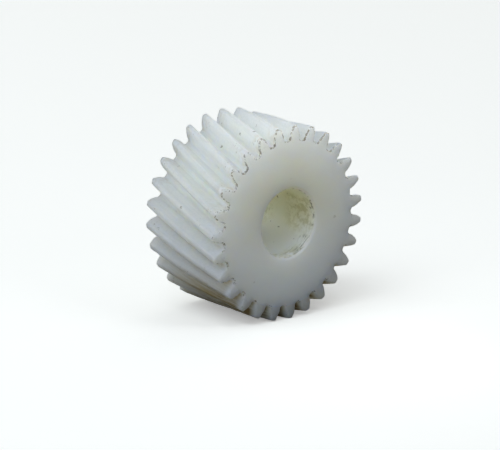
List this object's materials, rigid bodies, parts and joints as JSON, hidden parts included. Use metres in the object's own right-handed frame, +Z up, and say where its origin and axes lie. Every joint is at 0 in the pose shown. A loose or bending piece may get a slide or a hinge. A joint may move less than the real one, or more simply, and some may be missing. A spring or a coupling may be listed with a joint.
{
  "type": "helical gear",
  "caption": "One-piece natural white plastic helical gear with right-hand teeth and a plain chamfered bore, for parallel shafts.",
  "frame": {"origin": "middle of the bore, halfway across the face width", "axes": "+Y along the bore axis, from the front face to the rear face; +Z up through the middle of a tooth at half the face width; the gear stands on its rim"},
  "size_m": [0.0458, 0.024, 0.0458],
  "materials": {
    "natural_nylon": "natural, undyed, slightly translucent, satin, as cut"
  },
  "bodies": {
    "root": {"helical_gear": "natural_nylon"}
  },
  "joints": []
}
